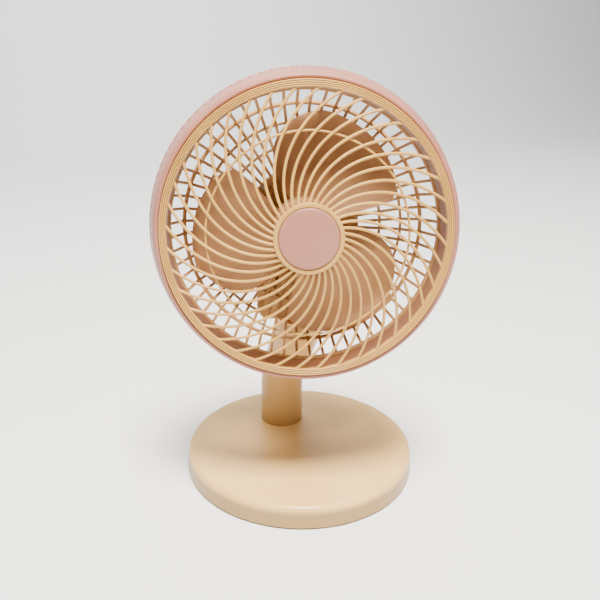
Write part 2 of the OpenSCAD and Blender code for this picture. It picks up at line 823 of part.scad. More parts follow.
module fan_blade() {
    first_tip = 83;
    color("#c79c6b") head() {
        around(blade_count, -first_tip) blade();
        difference() {
            translate([0, 0, cup_front]) cylinder(r = hub_r, h = cup_len, $fn = fine);
            translate([0, 0, cup_front + 2.4])
                cylinder(r = hub_r - cup_t, h = cup_len, $fn = fine);
        }
        ring(shaft_r + seat_gap, 4, cup_front + 1, cup_front + 7.5, small);
    }
}

module rotor_ring() {
    r = hub_r - cup_t - seat_gap;
    color(steel) head() ring(r - ring_t, r, core_mid - 9, core_mid + 9);
}

module rotor_magnets() {
    r = hub_r - cup_t - ring_t - 2 * seat_gap;
    color("dimgray") head() difference() {
        ring(r - magnet_t, r, core_mid - 7.5, core_mid + 7.5);
        for (a = [0, 90]) rotate([0, 0, a]) translate([-30, -0.4, core_mid - 10])
            cube([60, 0.8, 20]);
    }
}

module motor_shaft() {
    low = cup_front + 2.5;
    color(steel) head() difference() {
        translate([0, 0, low]) cylinder(r = shaft_r, h = motor_back + 1.8 - low, $fn = small);
        ring(shaft_r - 0.4, shaft_r + 1, motor_back + 0.3, motor_back + 1.1, small);
    }
}

module shaft_clip() {
    low = motor_back + 0.4;
    color(steel) head() difference() {
        ring(shaft_r - 0.4 + seat_gap, shaft_r + 1.6, low, low + 0.6, small);
        translate([-0.6, 0, low - 1]) cube([1.2, 6, 3]);
    }
}

non_slip_pad();
base_plate();
base_cover();
base_screws();
ballast_plate();
control_board();
power_socket();
neck_tube();
neck_flange();
neck_collar();
neck_screws();
neck_lead();
swivel_bush();
swivel_yoke();
swivel_clip();
tilt_bolt();
tilt_nut();
tilt_washers();
front_grille();
centre_cap();
drum_shell();
rear_grille();
grille_screws();
rear_housing();
housing_screws();
motor_base();
motor_screws();
stator_core();
stator_coils();
front_bearing();
rear_bearing();
driver_board();
board_screws();
button_switch();
speed_button();
fan_blade();
rotor_ring();
rotor_magnets();
motor_shaft();
shaft_clip();
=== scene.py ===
"""Looks of a small desk fan: round base, bent neck, spiral-rib guard, drum shell and three broad blades.

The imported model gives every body, joint and size. The classes below build the visible shells around it
as surfaces worked out with numpy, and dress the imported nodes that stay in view.
"""

import json
import logging
import math
from dataclasses import dataclass, field
from enum import Enum

import bmesh
import bpy
import numpy as np
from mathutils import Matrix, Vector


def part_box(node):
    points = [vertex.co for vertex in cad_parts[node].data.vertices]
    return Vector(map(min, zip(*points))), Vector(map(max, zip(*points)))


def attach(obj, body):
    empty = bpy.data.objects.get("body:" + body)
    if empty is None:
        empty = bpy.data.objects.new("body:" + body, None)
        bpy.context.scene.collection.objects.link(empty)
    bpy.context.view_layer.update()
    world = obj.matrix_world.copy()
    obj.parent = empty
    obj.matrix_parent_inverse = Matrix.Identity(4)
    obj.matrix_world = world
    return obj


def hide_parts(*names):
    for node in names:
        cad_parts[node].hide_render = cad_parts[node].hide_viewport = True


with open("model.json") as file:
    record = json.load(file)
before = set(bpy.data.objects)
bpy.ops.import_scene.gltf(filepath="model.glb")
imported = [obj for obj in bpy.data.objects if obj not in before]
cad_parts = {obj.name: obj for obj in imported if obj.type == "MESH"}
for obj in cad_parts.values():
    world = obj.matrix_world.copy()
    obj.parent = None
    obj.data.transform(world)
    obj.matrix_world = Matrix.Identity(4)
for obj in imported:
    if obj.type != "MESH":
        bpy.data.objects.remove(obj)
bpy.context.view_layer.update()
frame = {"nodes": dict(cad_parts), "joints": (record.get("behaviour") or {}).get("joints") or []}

LOG = logging.getLogger("desk_fan")
MM = 0.001
TAU = 2 * math.pi


class Body(Enum):
    """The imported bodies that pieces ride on."""

    BASE = "base"
    HEAD = "head"
    IMPELLER = "impeller"
    BUTTON = "speed_button"


# ---------------------------------------------------------------- finishes


def linear(code: str) -> tuple[float, float, float, float]:
    """Turn an sRGB hex colour into linear values.

    Args:
        code: Colour as "#rrggbb".

    Returns:
        Red, green, blue and alpha, linear.
    """
    values = [int(code[i : i + 2], 16) / 255 for i in (1, 3, 5)]
    return (*[v / 12.92 if v <= 0.04045 else ((v + 0.055) / 1.055) ** 2.4 for v in values], 1.0)


def add(tree: bpy.types.NodeTree, kind: str, settings: dict, links: dict) -> bpy.types.Node:
    """Add a node with its settings and its incoming links.

    Args:
        tree: The node tree.
        kind: The node's type name.
        settings: Property or input name to value.
        links: Input name to the output socket that feeds it.

    Returns:
        The new node.
    """
    node = tree.nodes.new(kind)
    for name, value in settings.items():
        if name in node.inputs:
            node.inputs[name].default_value = value
        else:
            setattr(node, name, value)
    for name, socket in links.items():
        tree.links.new(socket, node.inputs[name])
    return node


def blank(name: str) -> tuple[bpy.types.Material, bpy.types.NodeTree, bpy.types.Node]:
    """Make an empty material.

    Args:
        name: The material's name.

    Returns:
        The material, its node tree and its shader.
    """
    material = bpy.data.materials.new(name)
    material.use_nodes = True
    return material, material.node_tree, material.node_tree.nodes["Principled BSDF"]


def noise(tree: bpy.types.NodeTree, place: bpy.types.NodeSocket, size_mm: float,
          detail: float) -> bpy.types.NodeSocket:
    """Return a noise whose features are about a real size.

    Args:
        tree: The node tree.
        place: The coordinates that it is laid on.
        size_mm: Size of its features.
        detail: Number of finer layers.

    Returns:
        The noise, from 0 to 1.
    """
    settings = {"Scale": 1 / (size_mm * MM), "Detail": detail}
    return add(tree, "ShaderNodeTexNoise", settings, {"Vector": place}).outputs["Fac"]


def spread(tree: bpy.types.NodeTree, pattern: bpy.types.NodeSocket, low: float,
           high: float) -> bpy.types.NodeSocket:
    """Return a value that runs from low to high as a pattern runs from 0 to 1."""
    mapped = add(tree, "ShaderNodeMapRange", {"To Min": low, "To Max": high}, {"Value": pattern})
    return mapped.outputs["Result"]


def two_tone(tree: bpy.types.NodeTree, pattern: bpy.types.NodeSocket, shade: str,
             colour: str) -> bpy.types.NodeSocket:
    """Mix a tone that drifts from a shade to a colour over the middle of a pattern's range.

    Args:
        tree: The node tree.
        pattern: A pattern from 0 to 1.
        shade: Hex value at the low end.
        colour: Hex value at the high end.

    Returns:
        The tone.
    """
    soft = add(tree, "ShaderNodeMapRange", {"From Min": 0.3, "From Max": 0.7}, {"Value": pattern})
    tone = add(tree, "ShaderNodeMix", {"data_type": "RGBA"}, {"Factor": soft.outputs["Result"]})
    tone.inputs[6].default_value = linear(shade)
    tone.inputs[7].default_value = linear(colour)
    return tone.outputs[2]


def joint_named(name: str) -> dict:
    """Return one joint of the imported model."""
    return next(joint for joint in frame["joints"] if joint["name"] == name)


@dataclass(frozen=True)
class MouldedPlastic:
    """Injection-moulded plastic with a fine spark-eroded grain and soft drifts of tone.

    The grain breaks up highlights; the drifts are the flow marks and handling of a used moulding.
    Grain finer than about 0.5 mm would not show, so it is drawn at 0.5 mm. A dusk below 1 deepens the
    tone towards the foot of a side wall, between two heights. It stands for shade, not for a second dye.
    """

    name: str
    colour: str
    shade: str
    roughness: float = 0.42
    grain_mm: float = 0.5
    grain_depth_mm: float = 0.012
    drift_mm: float = 28.0
    coat: float = 0.0
    coat_roughness: float = 0.12
    subsurface: float = 0.0
    ior: float = 1.49
    specular: float = 0.3
    dusk: float = 1.0
    dusk_mm: tuple[float, float] = (12.0, 16.5)

    def build(self) -> bpy.types.Material:
        """Make the material.

        Returns:
            The material with its nodes.
        """
        material, tree, shader = blank(self.name)
        place = add(tree, "ShaderNodeTexCoord", {}, {}).outputs["Object"]
        drift = noise(tree, place, self.drift_mm, 3.0)
        tone = two_tone(tree, drift, self.shade, self.colour)
        if self.dusk < 1.0:
            tone = self.darken_foot(tree, place, tone)
        tree.links.new(tone, shader.inputs["Base Color"])
        gloss = spread(tree, drift, self.roughness - 0.06, self.roughness + 0.08)
        tree.links.new(gloss, shader.inputs["Roughness"])
        bump = add(tree, "ShaderNodeBump", {"Strength": 0.6, "Distance": self.grain_depth_mm * MM},
                   {"Height": noise(tree, place, self.grain_mm, 2.0)})
        tree.links.new(bump.outputs["Normal"], shader.inputs["Normal"])
        shader.inputs["IOR"].default_value = self.ior
        shader.inputs["Specular IOR Level"].default_value = self.specular
        shader.inputs["Coat Weight"].default_value = self.coat
        shader.inputs["Coat Roughness"].default_value = self.coat_roughness
        shader.inputs["Subsurface Weight"].default_value = self.subsurface
        shader.inputs["Subsurface Radius"].default_value = (0.004, 0.0025, 0.0015)
        return material

    def darken_foot(self, tree: bpy.types.NodeTree, place: bpy.types.NodeSocket,
                    tone: bpy.types.NodeSocket) -> bpy.types.NodeSocket:
        """Scale a tone down below the dusk heights.

        Args:
            tree: The node tree.
            place: Object coordinates.
            tone: The tone to deepen.

        Returns:
            The deepened tone.
        """
        low, high = (value * MM for value in self.dusk_mm)
        height = add(tree, "ShaderNodeSeparateXYZ", {}, {"Vector": place}).outputs["Z"]
        share = add(tree, "ShaderNodeMapRange", {"From Min": low, "From Max": high, "To Min": self.dusk},
                    {"Value": height}).outputs["Result"]
        return add(tree, "ShaderNodeVectorMath", {"operation": "SCALE"},
                   {"Vector": tone, "Scale": share}).outputs["Vector"]


@dataclass(frozen=True)
class StreakedPlastic:
    """Thin blade plastic, its colour deepened to a warm tan for painted shade, with soft radial streaks in
    the tone.
    """

    name: str
    colour: str
    shade: str
    roughness: float = 0.6
    streak_mm: float = 9.0
    ior: float = 1.49
    specular: float = 0.2
    subsurface: float = 0.15

    def build(self) -> bpy.types.Material:
        """Make the material.

        Returns:
            The material with its nodes.
        """
        material, tree, shader = blank(self.name)
        along = add(tree, "ShaderNodeAttribute", {"attribute_name": "blade_place"}, {}).outputs["Vector"]
        streak = noise(tree, along, self.streak_mm, 2.0)
        tree.links.new(two_tone(tree, streak, self.shade, self.colour), shader.inputs["Base Color"])
        gloss = spread(tree, streak, self.roughness - 0.05, self.roughness + 0.1)
        tree.links.new(gloss, shader.inputs["Roughness"])
        shader.inputs["IOR"].default_value = self.ior
        shader.inputs["Specular IOR Level"].default_value = self.specular
        shader.inputs["Subsurface Weight"].default_value = self.subsurface
        shader.inputs["Subsurface Radius"].default_value = (0.004, 0.002, 0.001)
        return material


@dataclass(frozen=True)
class PlatedMetal:
    """Metal with a fine brushed or rolled lay: zinc-plated screws, die-cast alloy and steel laminations."""

    name: str
    colour: str
    roughness: float = 0.32
    lay_mm: float = 0.6

    def build(self) -> bpy.types.Material:
        """Make the material.

        Returns:
            The material with its nodes.
        """
        material, tree, shader = blank(self.name)
        place = add(tree, "ShaderNodeTexCoord", {}, {}).outputs["Object"]
        lay = add(tree, "ShaderNodeMapping", {"Scale": (1.0, 1.0, 6.0)}, {"Vector": place})
        marks = noise(tree, lay.outputs["Vector"], self.lay_mm, 3.0)
        gloss = spread(tree, marks, self.roughness - 0.1, self.roughness + 0.15)
        tree.links.new(gloss, shader.inputs["Roughness"])
        bump = add(tree, "ShaderNodeBump", {"Strength": 0.3, "Distance": 0.01 * MM}, {"Height": marks})
        tree.links.new(bump.outputs["Normal"], shader.inputs["Normal"])
        shader.inputs["Base Color"].default_value = linear(self.colour)
        shader.inputs["Metallic"].default_value = 1.0
        return material


@dataclass(frozen=True)
class WoundCopper:
    """Enamelled copper wire in layers: fine parallel turns under a glossy amber varnish."""

    name: str
    colour: str
    wire_mm: float = 0.5

    def build(self) -> bpy.types.Material:
        """Make the material.

        Returns:
            The material with its nodes.
        """
        material, tree, shader = blank(self.name)
        place = add(tree, "ShaderNodeTexCoord", {}, {}).outputs["Object"]
        turns = add(tree, "ShaderNodeTexWave",
                    {"Scale": 1 / (TAU * self.wire_mm * MM) * 2, "Distortion": 0.4},
                    {"Vector": place}).outputs["Fac"]
        bump = add(tree, "ShaderNodeBump", {"Strength": 0.8, "Distance": 0.1 * MM}, {"Height": turns})
        tree.links.new(bump.outputs["Normal"], shader.inputs["Normal"])
        shader.inputs["Base Color"].default_value = linear(self.colour)
        shader.inputs["Roughness"].default_value = 0.3
        shader.inputs["Metallic"].default_value = 0.7
        return material


# Each finish is named for its material, or for the painted shade it stands for; the comment says what it
# gives the eye
CREAM_ABS = MouldedPlastic("cream_abs_moulded", "#ddb06e", "#d3a564")  # warm cream casings, low sheen
BASE_ABS = MouldedPlastic("cream_abs_polished", "#e5bb76", "#dfb36d", roughness=0.34, coat=0.12,
                          dusk=0.5)  # glossier cream base, deepened down its side to stand for shade
NECK_ABS = MouldedPlastic("cream_abs_neck", "#c3995c", "#ba9055",
                          roughness=0.38)  # the same cream, deepened to stand for the head's shade
GRILLE_PP = MouldedPlastic("cream_polypropylene_ribs", "#c4974f", "#b98c46", roughness=0.4,
                           subsurface=0.05)  # waxy cream ribs that let a little light through
REAR_PP = MouldedPlastic("cream_polypropylene_rear", "#ba8a54", "#ae7f4b", roughness=0.5)  # cream, painted part way darker for the shade inside the head
PINK_ABS = MouldedPlastic("pink_abs_moulded", "#a5705f", "#9d6858", roughness=0.4)  # dusty pink drum and cap
BLADE_PP = StreakedPlastic("polypropylene_blades_painted_shade", "#a5784f", "#986d46")  # cream deepened to a warm tan for painted shade, soft streaks
SKIRT_PP = MouldedPlastic("cream_polypropylene_skirt", "#936142", "#885839", roughness=0.5)  # cream wall deepened to warm brown: painted shade inside the drum
SHADE_ABS = MouldedPlastic("painted_notch_shade", "#5c3a31", "#50312a", roughness=0.7)  # painted shade on the notch floors
DARK_ABS = MouldedPlastic("charcoal_abs_moulded", "#2e2b29", "#262322", roughness=0.5)  # near-black switch
FOAM = MouldedPlastic("foam_rubber_pad", "#4b4744", "#413d3a", roughness=0.85, grain_mm=1.2,
                      grain_depth_mm=0.15)  # matt dark pad with open pores
NYLON = MouldedPlastic("natural_nylon", "#ece8df", "#e2ddd2", roughness=0.35)  # waxy off-white
LAMINATE = MouldedPlastic("green_glass_laminate", "#2d6b4a", "#255a3e", roughness=0.3)  # glossy green board
RUBBER = MouldedPlastic("soft_lead_jacket", "#3a3634", "#302d2b", roughness=0.6)  # soft dark jacket
ZINC = PlatedMetal("zinc_plated_steel", "#c3c6c9")  # bright cool screws
CAST = PlatedMetal("die_cast_alloy", "#b0b2b4", roughness=0.45)  # dull grey casting
LAMINATION = PlatedMetal("silicon_steel_laminations", "#7d8085", roughness=0.4, lay_mm=0.35)  # dark layers
COPPER = WoundCopper("enamelled_copper_wire", "#a5602c")  # glossy amber turns


class Workshop:
    """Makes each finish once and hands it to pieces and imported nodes."""

    def __init__(self) -> None:
        """Start with no materials made."""
        self.made: dict[str, bpy.types.Material] = {}

    def material(self, finish: object) -> bpy.types.Material:
        """Return the material of a finish, made on first use.

        Args:
            finish: One of the finish dataclasses.

        Returns:
            Its material.
        """
        if finish.name not in self.made:
            self.made[finish.name] = finish.build()
        return self.made[finish.name]

    def dress_node(self, node: str, finish: object) -> None:
        """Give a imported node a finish.

        Args:
            node: The node's name.
            finish: Its finish.
        """
        piece = frame["nodes"][node]
        piece.data.materials.clear()
        piece.data.materials.append(self.material(finish))

    def finish_piece(self, piece: bpy.types.Object, finish: object, body: Body, slot: str,
                     stands_for: tuple[str, ...] = ()) -> None:
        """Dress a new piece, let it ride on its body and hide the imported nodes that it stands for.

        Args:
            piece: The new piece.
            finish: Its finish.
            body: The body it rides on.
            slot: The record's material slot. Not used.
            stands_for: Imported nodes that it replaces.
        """
        piece.data.materials.append(self.material(finish))
        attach(piece, body.value)
        if stands_for:
            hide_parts(*stands_for)
        LOG.info("%s: %d vertices, %s", piece.name, len(piece.data.vertices), finish.name)


# ---------------------------------------------------------------- surfaces


def full_turn(steps: int) -> np.ndarray:
    """Return evenly spaced angles round a full turn, in radians."""
    return TAU * np.arange(steps) / steps


@dataclass
class Skin:
    """Vertices and faces of one piece, gathered from several grids."""

    points: list[np.ndarray] = field(default_factory=list)
    faces: list[np.ndarray] = field(default_factory=list)
    count: int = 0

    def grid(self, points: np.ndarray, wrap_rows: bool, wrap_cols: bool) -> None:
        """Add a grid of points joined into four-sided faces.

        Args:
            points: Array of rows by columns by 3, in metres.
            wrap_rows: Whether the last row joins the first.
            wrap_cols: Whether the last column joins the first.
        """
        rows, cols = points.shape[:2]
        i, j = np.meshgrid(np.arange(rows - (not wrap_rows)), np.arange(cols - (not wrap_cols)),
                           indexing="ij")
        up, right = (i + 1) % rows, (j + 1) % cols
        quads = np.stack([i * cols + j, i * cols + right, up * cols + right, up * cols + j], -1)
        self.faces.append(quads.reshape(-1, 4) + self.count)
        self.points.append(points.reshape(-1, 3))
        self.count += rows * cols

    def tubes(self, paths: np.ndarray, radii: np.ndarray, across: np.ndarray, other: np.ndarray,
              sides: int) -> None:
        """Add closed tubes: a circle carried along each path, with a fan of faces at each end.

        Args:
            paths: Array of tubes by stations by 3.
            radii: Radius at each station.
            across: Unit vectors square to the path, shaped as paths.
            other: Unit vectors square to both, shaped as paths.
            sides: Number of sides of the circle.
        """
        turn = full_turn(sides)
        ring = np.cos(turn)[None, None, :, None] * across[:, :, None, :]
        ring = ring + np.sin(turn)[None, None, :, None] * other[:, :, None, :]
        walls = paths[:, :, None, :] + radii[None, :, None, None] * ring
        for wall, path in zip(walls, paths):
            low = np.repeat(path[:1, None, :], sides, axis=1)
            high = np.repeat(path[-1:, None, :], sides, axis=1)
            self.grid(np.concatenate([low, wall, high]), False, True)

    def build(self, name: str, crease_deg: float = 35.0) -> bpy.types.Object:
        """Make the mesh object: doubles merged, faces turned outwards, smooth up to a crease angle.

        Args:
            name: The object's name.
            crease_deg: Edges sharper than this stay sharp.

        Returns:
            The new object, at the origin.
        """
        mesh = bpy.data.meshes.new(name)
        mesh.from_pydata(np.concatenate(self.points).tolist(), [], np.concatenate(self.faces).tolist())
        work = bmesh.new()
        work.from_mesh(mesh)
        bmesh.ops.remove_doubles(work, verts=work.verts, dist=1e-6)
        bmesh.ops.dissolve_degenerate(work, edges=work.edges, dist=1e-7)
        wires = [edge for edge in work.edges if not edge.link_faces]
        bmesh.ops.delete(work, geom=wires, context="EDGES")
        bmesh.ops.recalc_face_normals(work, faces=work.faces)
        work.to_mesh(mesh)
        work.free()
        mesh.polygons.foreach_set("use_smooth", np.ones(len(mesh.polygons), bool))
        mesh.set_sharp_from_angle(angle=math.radians(crease_deg))
        piece = bpy.data.objects.new(name, mesh)
        bpy.context.scene.collection.objects.link(piece)
        return piece


@dataclass(frozen=True)
class Axes:
    """A turning frame: origin, right, up and forward directions, with depth counted backwards."""

    origin: np.ndarray
    right: np.ndarray
    up: np.ndarray
    forward: np.ndarray

    def at(self, x: np.ndarray, y: np.ndarray, depth: np.ndarray) -> np.ndarray:
        """Return points from right, up and depth, all in metres."""
        x, y, depth = np.broadcast_arrays(x, y, depth)
        return (self.origin + x[..., None] * self.right + y[..., None] * self.up
                - depth[..., None] * self.forward)

    def polar(self, radius: np.ndarray, angle: np.ndarray, depth: np.ndarray) -> np.ndarray:
        """Return points from a radius, an angle anticlockwise from the right, and a depth."""
        return self.at(radius * np.cos(angle), radius * np.sin(angle), depth)

    def revolve(self, profile: np.ndarray, steps: int) -> np.ndarray:
        """Carry a closed profile of (radius, depth) rows round the axis.

        Args:
            profile: Array of points by 2.
            steps: Number of steps round the axis.

        Returns:
            Grid of points by steps by 3.
        """
        return self.polar(profile[:, :1], full_turn(steps)[None, :], profile[:, 1:])

    def tangent(self, angle: np.ndarray) -> np.ndarray:
        """Return unit vectors square to the radius at each angle, pointing anticlockwise."""
        return self.polar(np.ones_like(angle), angle + math.pi / 2, np.zeros_like(angle)) - self.origin

    def turned(self, profile: np.ndarray, steps: int) -> Skin:
        """Carry a closed profile round the axis.

        Args:
            profile: Array of (radius, depth) points by 2.
            steps: Number of steps round the axis.

        Returns:
            The skin of the turned shape.
        """
        skin = Skin()
        skin.grid(self.revolve(profile, steps), True, True)
        return skin


def head_axes() -> Axes:
    """Work out the head's frame from the joint that the impeller spins on.

    Returns:
        The frame at rest.
    """
    spin = joint_named("fan_spin")
    forward = np.array(spin["axis"], float)
    forward = forward / np.linalg.norm(forward)
    up = np.array([0.0, 0.0, 1.0])
    up = up - forward * (up @ forward)
    up = up / np.linalg.norm(up)
    return Axes(np.array(spin["pos_m"], float), np.cross(up, forward), up, forward)


HEAD = head_axes()
# The table's frame, whose depth is counted downwards from the table
TABLE = Axes(np.zeros(3), np.array([1.0, 0, 0]), np.array([0, 1.0, 0]), np.array([0, 0, 1.0]))


def arc(centre: tuple[float, float], radius: float, start_deg: float, end_deg: float,
        steps: int) -> np.ndarray:
    """Return points of a circular arc in a (radius, depth) profile."""
    turn = np.radians(np.linspace(start_deg, end_deg, steps))
    return np.stack([centre[0] + radius * np.cos(turn), centre[1] + radius * np.sin(turn)], -1)


def band_section(inner: float, outer: float, front: float, back: float, radius: float) -> np.ndarray:
    """Return a rectangular (radius, depth) section with rounded corners."""
    return rounded([(inner, front), (outer, front), (outer, back), (inner, back)], radius)


def rounded(points: list[tuple[float, float]], radius: float, steps: int = 4) -> np.ndarray:
    """Round every corner of a closed outline with a quadratic curve.

    Each corner is replaced by a curve from a point before it to a point after it, pulled to the corner.

    Args:
        points: Corners of the outline.
        radius: Distance from the corner where the curve starts.
        steps: Points on each curve.

    Returns:
        Array of points by 2.
    """
    corner = np.array(points, float)
    before, after = np.roll(corner, 1, 0) - corner, np.roll(corner, -1, 0) - corner
    len_b, len_a = np.linalg.norm(before, axis=1), np.linalg.norm(after, axis=1)
    start = corner + before * (np.minimum(radius, len_b / 2.05) / len_b)[:, None]
    end = corner + after * (np.minimum(radius, len_a / 2.05) / len_a)[:, None]
    t = np.linspace(0, 1, steps)[None, :, None]
    curve = (1 - t) ** 2 * start[:, None] + 2 * t * (1 - t) * corner[:, None] + t**2 * end[:, None]
    return curve.reshape(-1, 2)


# ---------------------------------------------------------------- sub-assemblies


@dataclass
class FrontGuard:
    """Front grille: ridged rim, spiral ribs on a shallow cone, hub ring with its cap, and inner skirt."""

    shop: Workshop
    rim: float = 100.0 * MM
    rim_width: float = 5.0 * MM
    rib_count: int = 40
    rib_radius: float = 1.0 * MM
    rib_start_deg: float = 6.78
    rib_twist_deg_per_mm: float = 0.68
    hub: float = 23.5 * MM
    cap: float = 20.2 * MM
    dome: float = 16.0 * MM
    skirt: float = 97.9 * MM
    skirt_wall: float = 1.9 * MM
    skirt_depth: float = 23.7 * MM
    brace: float = 68.3 * MM
    brace_radius: float = 0.8 * MM

    def cone(self, radius: np.ndarray) -> np.ndarray:
        """Return the depth of the cone's front, straight from the hub ring to 3 mm inside the rim."""
        edge = self.rim - 3 * MM
        return -self.dome * (edge - radius) / (edge - self.hub)

    def ribs(self) -> None:
        """Build the ribs: Archimedean spirals, whose angle falls evenly with the radius."""
        radius = np.linspace(self.hub - 1.2 * MM, self.rim - self.rim_width + 1.2 * MM, 30)
        twist = np.radians(self.rib_twist_deg_per_mm) / MM
        angle = math.radians(self.rib_start_deg) - twist * (radius - 26 * MM)
        start = TAU * np.arange(self.rib_count)[:, None] / self.rib_count
        depth = self.cone(radius) + self.rib_radius
        paths = HEAD.polar(radius[None, :], start + angle[None, :], depth[None, :])
        along = np.gradient(paths, axis=1)
        along = along / np.linalg.norm(along, axis=2, keepdims=True)
        across = np.cross(along, HEAD.forward)
        across = across / np.linalg.norm(across, axis=2, keepdims=True)
        skin = Skin()
        skin.tubes(paths, np.full(len(radius), self.rib_radius), across, np.cross(along, across), 10)
        self.shop.finish_piece(skin.build("spiral_ribs", 60), GRILLE_PP, Body.HEAD, "grille_plastic",
                               ("front_grille",))

    def band(self) -> None:
        """Build the rim: four rounded ridges on its face, as half sine waves raised to a low power."""
        t = np.linspace(0, 1, 65)
        radius = self.rim - self.rim_width * (1 - t)
        wave = np.abs(np.sin(4 * math.pi * t)) ** 0.4
        face = np.stack([radius, (0.2 - 1.4 * wave) * MM], -1)
        tail = np.array([[self.rim, 1.2 * MM], [self.rim, 3 * MM], [self.rim - self.rim_width, 3 * MM],
                         [self.rim - self.rim_width, 1.0 * MM]])
        skin = HEAD.turned(np.concatenate([face, tail]), 256)
        self.shop.finish_piece(skin.build("front_rim", 40), GRILLE_PP, Body.HEAD, "grille_plastic")

    def hub_and_cap(self) -> None:
        """Build the hub ring, the brace ring behind the ribs and the slightly crowned cap."""
        front = -self.dome - 0.8 * MM
        ring = band_section(self.cap + 0.2 * MM, self.hub, front, front + 7 * MM, 0.7 * MM)
        skin = HEAD.turned(ring, 128)
        plate = band_section(0.1 * MM, self.cap + 1 * MM, front + 4.8 * MM, front + 6.6 * MM, 0.3 * MM)
        skin.grid(HEAD.revolve(plate, 64), True, True)
        self.shop.finish_piece(skin.build("grille_hub", 40), GRILLE_PP, Body.HEAD, "grille_plastic")
        brace_depth = float(self.cone(np.array(self.brace))) + 2 * self.rib_radius + 0.35 * MM
        skin = HEAD.turned(arc((self.brace, brace_depth), self.brace_radius, 0, 324, 10), 200)
        self.shop.finish_piece(skin.build("brace_ring", 60), GRILLE_PP, Body.HEAD, "grille_plastic")
        t = np.linspace(0, 1, 24)
        crown = np.stack([(self.cap - 1.4 * MM) * t, front - 1.4 * MM + 0.45 * MM * t**2], -1)
        edge = arc((self.cap - 1.4 * MM, front + 0.45 * MM), 1.4 * MM, -90, 0, 8)
        back = np.array([[self.cap, front + 4.7 * MM], [0, front + 4.7 * MM]])
        skin = HEAD.turned(np.concatenate([crown, edge, back]), 128)
        self.shop.finish_piece(skin.build("hub_cap", 40), PINK_ABS, Body.HEAD, "pink_plastic",
                               ("centre_cap",))

    def inner_skirt(self) -> None:
        """Build the wall that runs back from the rim inside the drum."""
        inner = self.skirt - self.skirt_wall
        skin = HEAD.turned(band_section(inner, self.skirt, 1.5 * MM, self.skirt_depth, 0.5 * MM), 200)
        self.shop.finish_piece(skin.build("inner_skirt", 40), SKIRT_PP, Body.HEAD, "grille_plastic")

    def build(self) -> None:
        """Build every piece of the front grille."""
        self.ribs()
        self.band()
        self.hub_and_cap()
        self.inner_skirt()


@dataclass
class Drum:
    """Pink drum shell: a rolled front edge, a flared wall and a belt of notches near the back."""

    shop: Workshop
    front_in: float = 100.3 * MM
    widest: float = 110.4 * MM
    depth: float = 28.5 * MM
    lip_in: float = 98.5 * MM
    notch_count: int = 96
    notch_start_deg: float = 1.9
    notch_share: float = 0.46
    notch_depth: float = 1.5 * MM
    notch_half: float = 3.0 * MM
    notch_from_back: float = 5.5 * MM
    notch_steps: int = 14
    notch_soft: float = 0.14 * MM
    notch_steepness: float = 40.0
    wall_start: float = 7.0 * MM
    wall_inset: float = 5.2 * MM
    back_edge: float = 1.3 * MM

    @property
    def notch_mid(self) -> float:
        """Return the depth of the middle of the belt of notches."""
        return self.depth - self.notch_from_back

    def wall_at(self, share: np.ndarray) -> np.ndarray:
        """Return the radius and depth of the outer wall at shares of the way back."""
        low = self.front_in + self.wall_inset
        return np.stack([low + (self.widest - self.front_in - self.wall_inset) * share,
                         self.wall_start + (self.depth - self.wall_start - self.back_edge) * share], -1)

    def build(self) -> None:
        """Build the shell and the dark band of painted shade behind its notches."""
        self.shell()
        self.paint_notch_shade()

    def shell(self) -> None:
        """Build the shell.

        The outer wall rises evenly from the rolled edge to the widest radius. A notch is a pulse in angle
        times a pulse in depth, each with steep even sides, and it lowers the wall by the notch depth.
        """
        front = self.front_in
        roll = arc((front + 1.5 * MM, 2.3 * MM), 1.5 * MM, 180, 300, 10)
        shoulder = np.array([[front + 3.3 * MM, 2.6 * MM], [front + 4.4 * MM, 4.6 * MM]])
        t = np.linspace(0, 1, 44)
        wall = self.wall_at(t)
        edge = arc((self.widest - self.back_edge, self.depth - self.back_edge), self.back_edge, 0, 90, 6)
        inside = np.array([
            [self.lip_in, self.depth], [self.lip_in, self.depth - 2 * MM],
            [self.widest - 2.6 * MM, self.depth - 2 * MM], [front + 3.2 * MM, 8.5 * MM],
            [front + 0.6 * MM, 4.6 * MM], [98.3 * MM, 4.6 * MM], [98.3 * MM, 3.05 * MM], [front, 3.05 * MM],
        ])
        profile = np.concatenate([roll, shoulder, wall, edge, inside])
        steps = self.notch_count * self.notch_steps
        turn = full_turn(steps)
        radius = np.repeat(profile[:, :1], steps, axis=1)
        phase = (turn + math.radians(self.notch_start_deg)) * self.notch_count / TAU
        off = np.abs(phase - np.round(phase)) * 2
        pulse = 1 / (1 + np.exp((off - self.notch_share) * self.notch_steepness))
        off_belt = np.abs(profile[:, 1] - self.notch_mid) - self.notch_half
        belt = 1 / (1 + np.exp(off_belt / self.notch_soft))
        outer = np.zeros(len(profile))
        outer[len(roll) + len(shoulder) : len(profile) - len(inside)] = 1
        radius = radius - self.notch_depth * (belt * outer)[:, None] * pulse[None, :]
        skin = Skin()
        skin.grid(HEAD.polar(radius, turn[None, :], profile[:, 1:]), True, True)
        self.shop.finish_piece(skin.build("drum", 35), PINK_ABS, Body.HEAD, "pink_plastic", ("drum_shell",))

    def paint_notch_shade(self) -> None:
        """Build a thin dark band just above the notch floors: painted shade inside the notches."""
        depth = self.notch_mid + np.array([-self.notch_half, self.notch_half])
        share = (depth - self.wall_start) / (self.depth - self.wall_start - self.back_edge)
        low, high = self.wall_at(share)[:, 0] - self.notch_depth
        over, under = 0.3 * MM, 0.2 * MM
        section = np.array([[low + over, depth[0]], [high + over, depth[1]],
                            [high - under, depth[1]], [low - under, depth[0]]])
        self.shop.finish_piece(HEAD.turned(section, 256).build("notch_painted_shade", 35), SHADE_ABS, Body.HEAD,
                               "pink_plastic")


